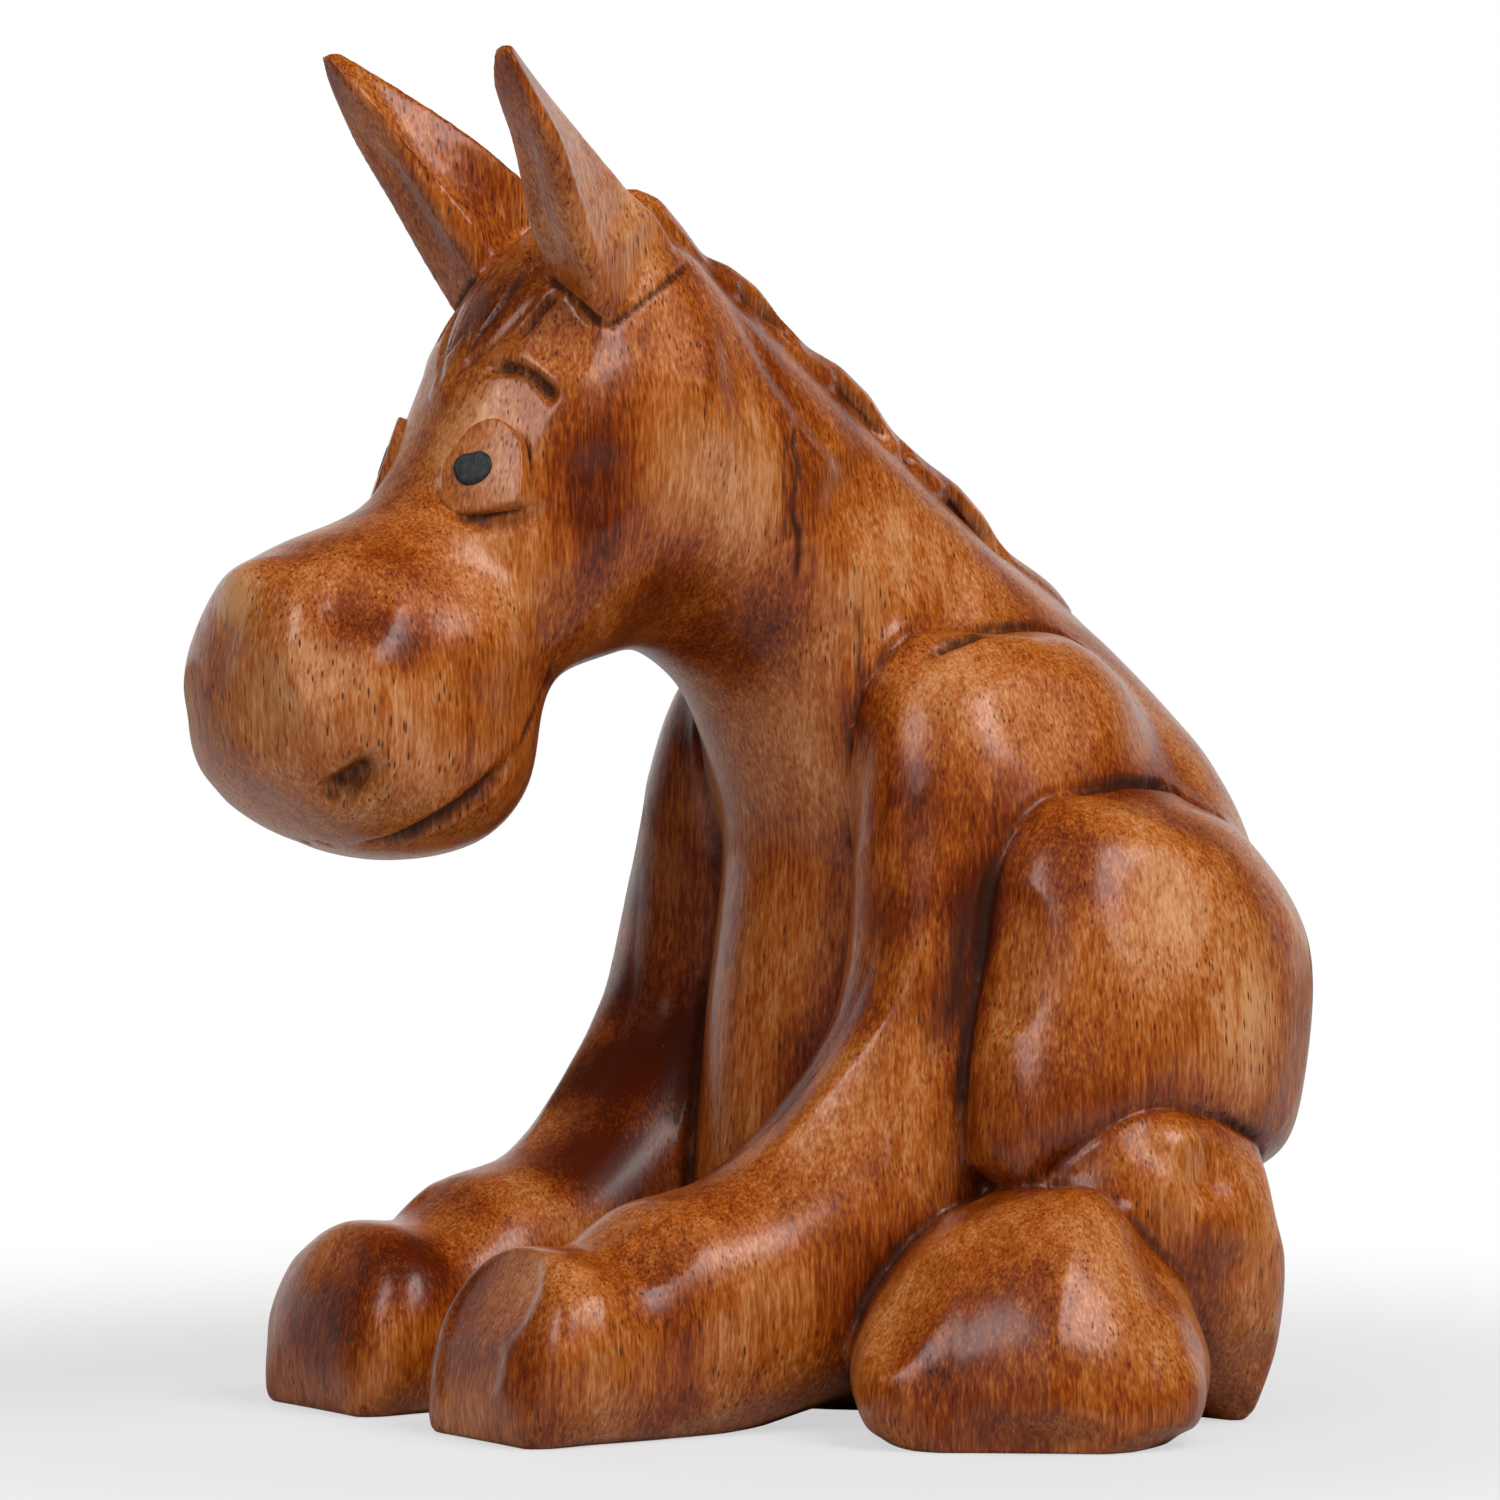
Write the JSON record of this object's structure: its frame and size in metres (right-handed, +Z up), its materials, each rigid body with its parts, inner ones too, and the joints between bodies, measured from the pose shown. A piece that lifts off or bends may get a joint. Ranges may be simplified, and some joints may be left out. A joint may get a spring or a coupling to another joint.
{
  "type": "carved wooden horse figurine",
  "caption": "Carved and varnished wooden horse that sits on its haunches with its head lowered, built from doweled and glued blocks with a flat base to stand on a shelf.",
  "frame": {"origin": "on the plane the horse stands on, under the middle of its bounding box", "axes": "+Z up, the horse faces -Y, its left side is +X"},
  "size_m": [0.1274, 0.1215, 0.1445],
  "materials": {
    "carved_wood": "reddish-brown stained hardwood under a glossy varnish",
    "dowel_wood": "bare pale wood",
    "pupil": "wooden peg painted matt black"
  },
  "bodies": {
    "root": {"trunk": "carved_wood", "head": "carved_wood", "neck_dowel": "dowel_wood", "mane": "carved_wood", "forelock": "carved_wood", "tail": "carved_wood", "ear_left": "carved_wood", "ear_right": "carved_wood", "ear_dowel_left": "dowel_wood", "ear_dowel_right": "dowel_wood", "eye_left": "carved_wood", "eye_right": "carved_wood", "pupil_left": "pupil", "pupil_right": "pupil", "foreleg_left": "carved_wood", "foreleg_right": "carved_wood", "foreleg_dowel_left": "dowel_wood", "foreleg_dowel_right": "dowel_wood", "haunch_left": "carved_wood", "haunch_right": "carved_wood", "haunch_dowel_left": "dowel_wood", "haunch_dowel_right": "dowel_wood", "shank_left": "carved_wood", "shank_right": "carved_wood", "shank_dowel_left": "dowel_wood", "shank_dowel_right": "dowel_wood", "hind_hoof_left": "carved_wood", "hind_hoof_right": "carved_wood", "hoof_dowel_left": "dowel_wood", "hoof_dowel_right": "dowel_wood"}
  },
  "joints": []
}
